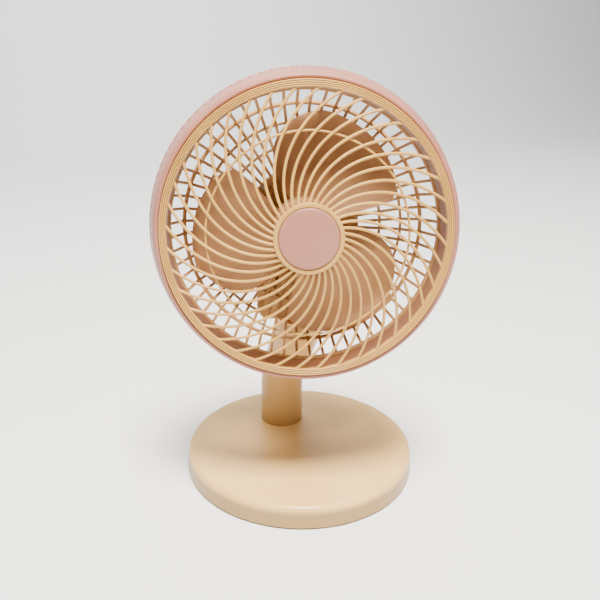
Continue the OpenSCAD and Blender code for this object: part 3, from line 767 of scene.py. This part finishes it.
@dataclass
class RearGuard:
    """Rear grille: straight spokes from the drum to the middle plate, rings across them and the plate."""

    shop: Workshop
    spoke_count: int = 60
    spoke_radius: float = 1.15 * MM
    spoke_start_deg: float = 3.0
    neck: float = 97.6 * MM
    neck_depth: float = 27.5 * MM
    side: float = 88.9 * MM
    side_depth: float = 50.0 * MM
    bowl: float = 75.4 * MM
    plate: float = 43.0 * MM
    plate_depth: float = 58.6 * MM

    def spokes(self) -> None:
        """Build the spokes: straight runs between four stations, with the corners rounded."""
        run = np.array([
            (self.neck - 1 * MM, self.neck_depth), (self.side - 0.4 * MM, self.side_depth - 0.5 * MM),
            (self.bowl, self.plate_depth + 0.8 * MM), (self.plate - 2 * MM, self.plate_depth + 1 * MM),
        ])
        share = np.linspace(0, 3, 22)
        radius = np.interp(share, range(4), run[:, 0])
        depth = np.interp(share, range(4), run[:, 1])
        angle = math.radians(self.spoke_start_deg) + full_turn(self.spoke_count)
        paths = HEAD.polar(radius[None, :], angle[:, None], depth[None, :])
        along = np.gradient(paths, axis=1)
        along = along / np.linalg.norm(along, axis=2, keepdims=True)
        across = np.repeat(HEAD.tangent(angle)[:, None, :], len(share), axis=1)
        skin = Skin()
        skin.tubes(paths, np.full(len(share), self.spoke_radius), across, np.cross(along, across), 8)
        self.shop.finish_piece(skin.build("rear_spokes", 60), REAR_PP, Body.HEAD, "grille_plastic",
                               ("rear_grille",))

    def rings(self) -> None:
        """Build the thick side ring, two thin rings and the flange inside the drum."""
        skin = Skin()
        for radius, depth, thick in ((self.side - 0.8 * MM, self.side_depth, 1.5 * MM),
                                     (self.bowl, self.plate_depth + 1.1 * MM, 1.1 * MM),
                                     (self.bowl - 15.9 * MM, self.plate_depth + 1.2 * MM, 1.1 * MM)):
            skin.grid(HEAD.revolve(arc((radius, depth), thick, 0, 330, 12), 180), True, True)
        flange = rounded([(95.1 * MM, 24.2 * MM), (102.9 * MM, 24.2 * MM), (102.9 * MM, 26.4 * MM),
                          (97.6 * MM, 26.4 * MM), (97.6 * MM, 29.5 * MM), (95.1 * MM, 29.5 * MM)], 0.4 * MM)
        skin.grid(HEAD.revolve(flange, 180), True, True)
        self.shop.finish_piece(skin.build("rear_rings", 50), REAR_PP, Body.HEAD, "grille_plastic")

    def middle(self) -> None:
        """Build the middle plate: three flat rings joined by two circles of bars, with slots between."""
        front, back = self.plate_depth, self.plate_depth + 2 * MM
        skin = Skin()
        for low, high in ((4.5, 20.5), (26.5, 33.0), (37.5, 43.0)):
            section = band_section(low * MM, high * MM, front, back, 0.35 * MM)
            skin.grid(HEAD.revolve(section, 128), True, True)
        for low, high, count, width in ((20.0, 27.0, 12, 4.2), (32.5, 38.0, 20, 3.4)):
            angle = full_turn(count)
            t = np.linspace(low, high, 3) * MM
            paths = HEAD.polar(t[None, :], angle[:, None], np.array(front + 1 * MM))
            across = np.repeat(HEAD.tangent(angle)[:, None, :], len(t), axis=1) * width / 2
            other = np.broadcast_to(HEAD.forward, across.shape)
            skin.tubes(paths, np.full(len(t), 1 * MM), across, other, 12)
        self.shop.finish_piece(skin.build("middle_plate", 40), REAR_PP, Body.HEAD, "grille_plastic")

    def build(self) -> None:
        """Build every piece of the rear grille."""
        self.spokes()
        self.rings()
        self.middle()


@dataclass
class Impeller:
    """Three broad paddle blades on a round hub cup."""

    shop: Workshop
    blade_count: int = 3
    first_tip_deg: float = 83.0
    tip: float = 83.0 * MM
    hub: float = 23.0 * MM
    front: float = 19.95 * MM
    cup_depth: float = 27.0 * MM
    thickness: float = 1.8 * MM
    sweep_deg: float = 65.0
    lead_deg: float = 34.0
    full_sweep_to: float = 54.0 * MM

    def edges(self, radius: np.ndarray) -> tuple[np.ndarray, np.ndarray]:
        """Return the angles of a blade's two edges from its tip at a radius.

        The trailing side holds its full sweep out to one radius and then closes with a fourth power. The
        leading side closes as a superellipse from the hub to the tip.

        Args:
            radius: Distances from the axis.

        Returns:
            Angles of the trailing and the leading edge, in radians.
        """
        outer = np.clip((radius - self.full_sweep_to) / (self.tip - self.full_sweep_to), 0, 1)
        inner = np.clip((self.full_sweep_to - radius) / (32 * MM), 0, 1)
        swept = -self.sweep_deg * (1 - outer**4) + 3 * inner
        share = np.clip((radius - self.hub + MM) / (self.tip - self.hub + MM), 0, 1)
        lead = self.lead_deg * np.maximum(0, 1 - share**3.3) ** 0.8
        return np.radians(swept), np.radians(lead)

    def blades(self) -> None:
        """Build the blades.

        A row lies at one radius. Along it the depth grows with the 0.75 power of the share of the way
        from edge to edge, and the section is a flat lens with rounded edges.
        """
        rows, cols = 40, 64
        climb = np.sin(0.5 * math.pi * np.linspace(0, 1, rows))
        radius = self.hub - 0.8 * MM + (self.tip - self.hub + 0.6 * MM) * climb
        low, high = self.edges(radius)
        loop = full_turn(cols)
        share = 0.5 - 0.5 * np.cos(loop)
        side = np.sin(loop)
        lens = np.sign(side) * np.abs(side) ** 0.35 * self.thickness / 2
        angle = low[:, None] + (high - low)[:, None] * share[None, :]
        reach = ((radius - self.hub) / (self.tip - self.hub))[:, None]
        middle = self.front + 2.9 * MM + 21 * MM * share[None, :] ** 0.75 + 3 * MM * reach
        thin = (1 - 0.25 * reach) * np.clip((1.002 - reach) * 14, 0.15, 1)
        depth = middle + lens[None, :] * thin
        skin = Skin()
        for k in range(self.blade_count):
            turn = math.radians(self.first_tip_deg) + TAU * k / self.blade_count
            grid = HEAD.polar(radius[:, None], angle + turn, depth)
            ends = [np.repeat(grid[i : i + 1].mean(axis=1, keepdims=True), cols, axis=1) for i in (0, -1)]
            skin.grid(np.concatenate([ends[0], grid, ends[1]]), False, True)
        piece = skin.build("blades", 50)
        self.mark_streak_place(piece.data)
        self.shop.finish_piece(piece, BLADE_PP, Body.IMPELLER, "blade_plastic", ("fan_blade",))

    def mark_streak_place(self, mesh: bpy.types.Mesh) -> None:
        """Store a place for the streaks: distance round the hub, and a tenth of the radius.

        Args:
            mesh: The blades' mesh.
        """
        points = np.zeros(len(mesh.vertices) * 3)
        mesh.vertices.foreach_get("co", points)
        local = points.reshape(-1, 3) - HEAD.origin
        x, y = local @ HEAD.right, local @ HEAD.up
        radius, angle = np.hypot(x, y), np.arctan2(y, x)
        place = np.stack([60 * MM * np.cos(angle), 60 * MM * np.sin(angle), radius * 0.15], -1)
        store = mesh.attributes.new("blade_place", "FLOAT_VECTOR", "POINT")
        store.data.foreach_set("vector", place.astype(np.float32).ravel())

    def cup(self) -> None:
        """Build the hub cup: a rounded front, a straight wall and an open back."""
        front, back = self.front, self.front + self.cup_depth
        inner = self.hub - 1.9 * MM
        corner = arc((self.hub - 4 * MM, front + 4 * MM), 4 * MM, -90, 0, 10)
        profile = np.concatenate([
            [[0, front - 0.4 * MM], [self.hub - 12 * MM, front - 0.2 * MM]], corner,
            [[self.hub, back], [inner, back], [inner, front + 4 * MM], [inner - 2 * MM, front + 2.4 * MM],
             [0, front + 2.4 * MM]],
        ])
        piece = HEAD.turned(profile, 96).build("hub_cup", 35)
        self.mark_streak_place(piece.data)
        self.shop.finish_piece(piece, BLADE_PP, Body.IMPELLER, "blade_plastic")

    def build(self) -> None:
        """Build the blades and the hub cup."""
        self.blades()
        self.cup()


def cut_away(piece: bpy.types.Object, skins: list[Skin]) -> None:
    """Cut closed shapes out of a piece, one after the other.

    Args:
        piece: The piece, whose mesh changes.
        skins: Closed shapes to take away.
    """
    for k, skin in enumerate(skins):
        cutter = skin.build(f"cutter_{k}")
        cut = piece.modifiers.new("cut", "BOOLEAN")
        cut.operation, cut.object, cut.solver = "DIFFERENCE", cutter, "EXACT"
        bpy.context.view_layer.objects.active = piece
        bpy.ops.object.modifier_apply(modifier=cut.name)
        bpy.data.objects.remove(cutter)
    piece.data.set_sharp_from_angle(angle=math.radians(32))


def block(skin: Skin, axes: Axes, low: tuple[float, float, float], high: tuple[float, float, float]) -> None:
    """Add a box to a skin, from its low and high corner as right, up and depth.

    Args:
        skin: The skin that takes the box.
        axes: The frame that the corners are in.
        low: Lowest right, up and depth.
        high: Highest right, up and depth.
    """
    x = np.array([low[0], high[0], high[0], low[0]])
    y = np.array([low[1], low[1], high[1], high[1]])
    start = skin.count
    skin.grid(np.stack([axes.at(x, y, np.array(low[2])), axes.at(x, y, np.array(high[2]))]), False, True)
    skin.faces.append(np.array([[0, 3, 2, 1], [4, 5, 6, 7]]) + start)


@dataclass
class RearHousing:
    """Housing behind the rear grille: a round shell with a lobe that reaches down over the tilt hinge."""

    shop: Workshop
    round_r: float = 43.0 * MM
    lobe_half: float = 35.0 * MM
    corner: float = 14.0 * MM
    wall: float = 2.2 * MM
    back_edge: float = 6.0 * MM
    front: float = 60.65 * MM
    back: float = 88.05 * MM
    lobe_end: float = 29.2 * MM
    button: float = 6.0 * MM
    slot_half: float = 6.4 * MM
    centre_down: float = 18.0 * MM
    pivot_down: float = field(init=False)
    pivot_back: float = field(init=False)

    def __post_init__(self) -> None:
        """Find the tilt axis below and behind the middle of the rim."""
        pivot = np.array(joint_named("head_tilt")["pos_m"]) - HEAD.origin
        self.pivot_down, self.pivot_back = float(-pivot @ HEAD.up), float(-pivot @ HEAD.forward)

    def outline(self, angle: np.ndarray) -> np.ndarray:
        """Return the distance from the middle of the outline to its edge, in each direction.

        The outline is where a smooth union of the distance to a circle and to a rounded box is zero, found
        by halving an interval.

        Args:
            angle: Directions, in radians.

        Returns:
            One distance for each direction.
        """
        half = self.pivot_down / 2 + self.lobe_end / 2
        near, far = np.zeros_like(angle), np.full_like(angle, 0.2)
        for _ in range(40):
            mid = (near + far) / 2
            x, y = mid * np.cos(angle), mid * np.sin(angle) - self.centre_down
            disc = np.hypot(x, y) - self.round_r
            qx, qy = np.abs(x) - (self.lobe_half - self.corner), np.abs(y + half) - (half - self.corner)
            box = np.hypot(np.maximum(qx, 0), np.maximum(qy, 0)) + np.minimum(np.maximum(qx, qy), 0)
            box = box - self.corner
            soft = 1.6 * MM
            both = -soft * np.logaddexp(-disc / soft, -box / soft)
            near, far = np.where(both < 0, mid, near), np.where(both < 0, far, mid)
        return near

    def solid(self, inset: float, front: float, back: float, edge: float) -> Skin:
        """Return the closed shape of the housing, drawn in by an inset.

        Args:
            inset: How far the wall is drawn in.
            front: Depth of its front.
            back: Depth of its back.
            edge: Radius of its rounded back edge.

        Returns:
            The skin of the shape.
        """
        angle = full_turn(192)
        outline = self.outline(angle) - inset
        turn = np.linspace(0, 0.5 * math.pi, 9)
        rows = [(0.0, 0.0, front), (0.7, 0.0, front), (1.0, 0.6 * MM, front), (1.0, 0.0, front + 0.6 * MM)]
        rows += [(1.0, edge * (1 - math.cos(t)), back - edge + edge * math.sin(t)) for t in turn]
        rows += [(0.6, 0.0, back + 0.6 * MM), (0.25, 0.0, back + 0.9 * MM), (0.0, 0.0, back + 0.9 * MM)]
        grid = []
        for share, drawn, depth in rows:
            reach = (outline - drawn) * share
            x, y = reach * np.cos(angle), reach * np.sin(angle) - self.centre_down
            grid.append(HEAD.at(x, y, np.array(depth)))
        skin = Skin()
        skin.grid(np.stack(grid), False, True)
        return skin

    def openings(self) -> Skin:
        """Return the vent slots and the yoke's slot as closed shapes.

        Returns:
            The skin of every shape.
        """
        skin = Skin()
        deep, front, back = 4 * MM, self.front, self.back
        for x in (-26, -20, 20, 26):
            for i in range(5):
                top = -(26 + i * 7) * MM
                block(skin, HEAD, ((x - 1.8) * MM, top - 3 * MM, front - MM),
                      ((x + 1.8) * MM, top, front + deep))
        for x in range(-3, 4):
            block(skin, HEAD, ((x * 6 - 1.2) * MM, 24 * MM, back - deep),
                  ((x * 6 + 1.2) * MM, 34 * MM, back + deep))
        low = -self.pivot_down - 60 * MM
        block(skin, HEAD, (-self.slot_half, low, front - MM),
              (self.slot_half, -self.pivot_down - 2 * MM, back + 3 * MM))
        return skin

    def end_cutter(self) -> Skin:
        """Return everything farther below the tilt axis than the housing may reach.

        Returns:
            The skin of one closed shape.
        """
        turn = np.linspace(0, math.pi, 33)
        depth = self.pivot_back - self.lobe_end * np.cos(turn)
        top = -self.pivot_down - self.lobe_end * np.sin(turn)
        depth = np.concatenate([[depth[0] - 50 * MM], depth, [depth[-1] + 50 * MM]])
        top = np.concatenate([[top[0]], top, [top[-1]]])
        low = np.full(len(depth), -self.pivot_down - 70 * MM)
        side = np.full(len(depth), 60 * MM)
        corners = [HEAD.at(x, up, depth) for x, up in ((-side, top), (side, top), (side, low), (-side, low))]
        skin = Skin()
        skin.grid(np.stack(corners, 1), False, True)
        last = 4 * (len(depth) - 1)
        skin.faces.append(np.array([[0, 1, 2, 3], [last + 3, last + 2, last + 1, last]]))
        return skin

    def build(self) -> None:
        """Build the hollow housing with its openings, and the button in its back."""
        piece = self.solid(0.0, self.front, self.back, self.back_edge).build("housing", 30)
        hollow = self.solid(self.wall, self.front + self.wall, self.back - self.wall,
                            self.back_edge - self.wall)
        reach, low, high = self.button + 0.3 * MM, self.back - 5 * MM, self.back + 5 * MM
        hole = HEAD.turned(np.array([[0, low], [reach, low], [reach, high], [0, high]]), 64)
        cut_away(piece, [hollow, self.openings(), self.end_cutter(), hole])
        self.shop.finish_piece(piece, CREAM_ABS, Body.HEAD, "cream_plastic", ("rear_housing",))
        inside = self.back - self.wall - 1.7 * MM
        crown = inside + 6.5 * MM
        profile = np.concatenate([
            [[0, inside], [self.button + 1.4 * MM, inside], [self.button + 1.4 * MM, inside + 1.3 * MM],
             [self.button, inside + 1.3 * MM]],
            arc((self.button - 1 * MM, crown - 1 * MM), 1 * MM, 0, 90, 6), [[0, crown - 0.5 * MM]]])
        self.shop.finish_piece(HEAD.turned(profile, 64).build("button_cap", 35), PINK_ABS, Body.BUTTON,
                               "pink_plastic", ("speed_button",))


@dataclass
class Stand:
    """Base cover and the bent neck."""

    shop: Workshop
    radius: float = 97.7 * MM
    height: float = 19.5 * MM
    edge: float = 4.5 * MM
    side_lean: float = 0.7 * MM
    foot: float = 1.2 * MM
    wall: float = 2.4 * MM
    neck: float = 18.8 * MM
    foot_y: float = 44.0 * MM
    straight: float = 50.0 * MM
    bend_deg: float = 35.0
    bend: float = 55.0 * MM

    def build(self) -> None:
        """Build the cover and the neck."""
        self.top_cover()
        self.neck_tube()

    def top_cover(self) -> None:
        """Build the closed cover and cut the neck's hole and the socket's opening out of it."""
        top, side = self.height, self.radius - self.side_lean
        curve = arc((side - self.edge, -(top - self.edge)), self.edge, 0, -90, 14)
        inner = self.radius - self.wall
        profile = np.concatenate([
            [[self.radius - 0.4 * MM, -self.foot], [self.radius, -self.foot - 0.4 * MM],
             [self.radius, -3 * MM]], curve,
            [[60 * MM, -top], [0, -top], [0, -(top - self.wall)], [inner - self.edge, -(top - self.wall)],
             [inner - self.side_lean, -(top - self.edge)], [inner, -self.foot]],
        ])
        piece = TABLE.turned(profile, 256).build("base_shell", 30)
        low, high = (np.array(c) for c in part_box("power_socket"))
        gap = 0.3 * MM
        opening = Skin()
        block(opening, TABLE, (low[0] - gap, high[1] - 8 * MM, -high[2] - gap),
              (high[0] + gap, high[1] + 20 * MM, -low[2] + gap))
        hole = Skin()
        ring = full_turn(96)
        x, y = (self.neck + 0.2 * MM) * np.cos(ring), (self.neck + 0.2 * MM) * np.sin(ring)
        rows = [TABLE.at(x * share, self.foot_y + y * share, np.array(-z * MM))
                for share, z in ((0, 10), (1, 10), (1, 30), (0, 30))]
        hole.grid(np.stack(rows), False, True)
        cut_away(piece, [opening, hole])
        self.shop.finish_piece(piece, BASE_ABS, Body.BASE, "base_plastic", ("base_cover",))

    def neck_tube(self) -> None:
        """Build the neck: a circle swept up a straight, round a bend, up an oblique and into the collar."""
        swivel = joint_named("head_swivel")["pos_m"]
        lean = math.radians(self.bend_deg)
        t = np.linspace(0, lean, 16)
        bend_y = self.foot_y - self.bend * (1 - np.cos(t))
        bend_z = self.straight + self.bend * np.sin(t)
        run = (bend_y[-1] - swivel[1]) / math.sin(lean)
        joint = np.array([swivel[1], bend_z[-1] + run * math.cos(lean)])
        up = np.array([[self.foot_y, 9 * MM], [self.foot_y, 19 * MM], [self.foot_y, 34 * MM]])
        oblique = np.array([bend_y[-1], bend_z[-1]]) + np.linspace(0.2, 0.86, 5)[:, None] * (
            joint - np.array([bend_y[-1], bend_z[-1]]))
        turn = np.linspace(lean * 0.9, 0, 8)
        path = np.concatenate([up, np.stack([bend_y, bend_z], -1), oblique])
        slope = np.concatenate([np.zeros(3), t, np.full(5, lean)])
        ring = full_turn(96)

        def disc(centre: np.ndarray, tilt: float, radius: float) -> np.ndarray:
            """Place a circle round a point of the path, square to a leaning direction.

            Args:
                centre: The point's y and z.
                tilt: How far the direction leans from upright, in radians.
                radius: The circle's radius.

            Returns:
                Its points.
            """
            x = radius * np.cos(ring)
            off = radius * np.sin(ring)
            return np.stack([x, centre[0] + off * math.cos(tilt), centre[1] + off * math.sin(tilt)], -1)

        rows = [disc(path[0], 0.0, 0.0)] + [disc(p, a, self.neck) for p, a in zip(path, slope)]
        knuckle = np.array([swivel[1], joint[1]])
        rows += [disc(knuckle, float(a), self.neck) for a in turn]
        top = swivel[2]
        bevel, bore, floor = 0.6 * MM, 6.7 * MM, top - 8 * MM
        rows = [np.column_stack([row[:, 0] + swivel[0], row[:, 1], np.minimum(row[:, 2], top - bevel)])
                for row in rows]
        rows += [disc(np.array([swivel[1], height]), 0.0, radius)
                 for height, radius in ((top, self.neck - bevel), (top, bore), (floor, bore), (floor, 0.0))]
        skin = Skin()
        skin.grid(np.stack(rows), False, True)
        piece = skin.build("neck", 40)
        self.shop.finish_piece(piece, NECK_ABS, Body.BASE, "base_plastic", ("neck_tube", "neck_collar"))


def dress_packed_nodes(shop: Workshop) -> None:
    """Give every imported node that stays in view, or inside, its real finish.

    Args:
        shop: The maker of materials.
    """
    groups = {
        CREAM_ABS: ["base_plate", "swivel_yoke", "rear_housing", "base_cover", "neck_tube", "neck_collar",
                    "neck_flange", "front_grille", "rear_grille"],
        PINK_ABS: ["speed_button", "centre_cap", "drum_shell"],
        BLADE_PP: ["fan_blade"],
        FOAM: ["non_slip_pad"],
        NYLON: ["swivel_bush", "tilt_washers"],
        LAMINATE: ["control_board", "driver_board"],
        RUBBER: ["neck_lead"],
        DARK_ABS: ["button_switch", "rotor_magnets"],
        CAST: ["motor_base"],
        LAMINATION: ["stator_core", "rotor_ring", "ballast_plate"],
        COPPER: ["stator_coils"],
        ZINC: ["base_screws", "power_socket", "neck_screws", "swivel_clip", "tilt_bolt", "tilt_nut",
               "grille_screws", "housing_screws", "motor_screws", "front_bearing", "rear_bearing",
               "board_screws", "motor_shaft", "shaft_clip"],
    }
    for finish, nodes in groups.items():
        for node in nodes:
            shop.dress_node(node, finish)


# ---------------------------------------------------------------- studio


@dataclass
class Studio:
    """Pale floor, soft lights and the camera."""

    floor_half: float = 4.0
    flat_to: float = 2.0
    sweep_radius: float = 1.2
    surround_strength: float = 0.22
    lens_mm: float = 39.0
    place: tuple[float, float, float] = (-0.1883, -0.4616, 0.3260)
    down_deg: float = 21.36
    azimuth_deg: float = -20.29
    shift: tuple[float, float] = (0.0328, 0.0363)

    def floor(self) -> None:
        """Lay a large matt paper sweep: flat under the fan, then curving up into a backdrop behind it."""
        half, bend, flat = self.floor_half, self.sweep_radius, self.flat_to
        turn = np.linspace(0, 0.5 * math.pi, 17)
        y = np.concatenate([[-half], flat + bend * np.sin(turn), [flat + bend]])
        z = np.concatenate([[0.0], bend * (1 - np.cos(turn)), [half]])
        sides = [np.stack([np.full(len(y), x), y, z], -1) for x in (-half, half)]
        skin = Skin()
        skin.grid(np.stack(sides), False, False)
        floor = skin.build("studio_floor", 60)
        material, _, shader = blank("matt_paper_floor")
        shader.inputs["Base Color"].default_value = linear("#eeeeee")
        shader.inputs["Roughness"].default_value = 0.9
        floor.data.materials.append(material)

    def light(self, name: str, place: tuple[float, float, float], size: float, power: float,
              colour: str = "#ffffff", aim: tuple[float, float, float] = (0.0, 0.0, 0.15)) -> None:
        """Hang a square soft light.

        Args:
            name: The light's name.
            place: Where it hangs, in metres.
            size: Its side, in metres.
            power: Its power, in watts.
            colour: Its colour.
            aim: The point that it faces.
        """
        lamp = bpy.data.lights.new(name, "AREA")
        lamp.size = size
        lamp.energy = power
        lamp.color = linear(colour)[:3]
        piece = bpy.data.objects.new(name, lamp)
        bpy.context.scene.collection.objects.link(piece)
        way = np.array(aim) - np.array(place)
        way = way / np.linalg.norm(way)
        piece.location = place
        piece.rotation_euler = (math.acos(-way[2]), 0.0, math.atan2(way[1], way[0]) - math.pi / 2)

    def surround(self) -> None:
        """Set an even pale surround."""
        world = bpy.data.worlds.new("studio_surround")
        bpy.context.scene.world = world
        world.use_nodes = True
        back = world.node_tree.nodes["Background"]
        back.inputs["Color"].default_value = (1.0, 1.0, 1.0, 1.0)
        back.inputs["Strength"].default_value = self.surround_strength

    def camera(self) -> None:
        """Set up the camera."""
        data = bpy.data.cameras.new("camera")
        data.lens = self.lens_mm
        data.sensor_width = 36.0
        data.shift_x, data.shift_y = self.shift
        data.clip_start = 0.01
        piece = bpy.data.objects.new("camera", data)
        bpy.context.scene.collection.objects.link(piece)
        piece.location = self.place
        piece.rotation_euler = (math.radians(90 - self.down_deg), 0.0, math.radians(self.azimuth_deg))
        bpy.context.scene.camera = piece

    def build(self) -> None:
        """Build the floor, lights, surround and camera."""
        self.camera()
        self.floor()
        self.surround()
        self.light("key_softbox", (-0.15, -0.65, 1.85), 0.55, 150.0, "#fffaf2")
        self.light("top_softbox", (0.15, 0.0, 1.9), 0.9, 8.0)
        self.light("side_fill", (1.5, -0.8, 0.8), 1.0, 1.5)
        self.light("backdrop_wash", (0.3, 1.5, 2.6), 1.6, 90.0, aim=(0.5, 3.0, 0.9))


def main() -> None:
    """Build the fan in order, from the stand to the head, then the studio."""
    logging.basicConfig(level=logging.INFO)
    shop = Workshop()
    dress_packed_nodes(shop)
    Stand(shop).build()
    FrontGuard(shop).build()
    Drum(shop).build()
    RearGuard(shop).build()
    RearHousing(shop).build()
    Impeller(shop).build()
    Studio().build()


if __name__ == "__main__":
    main()
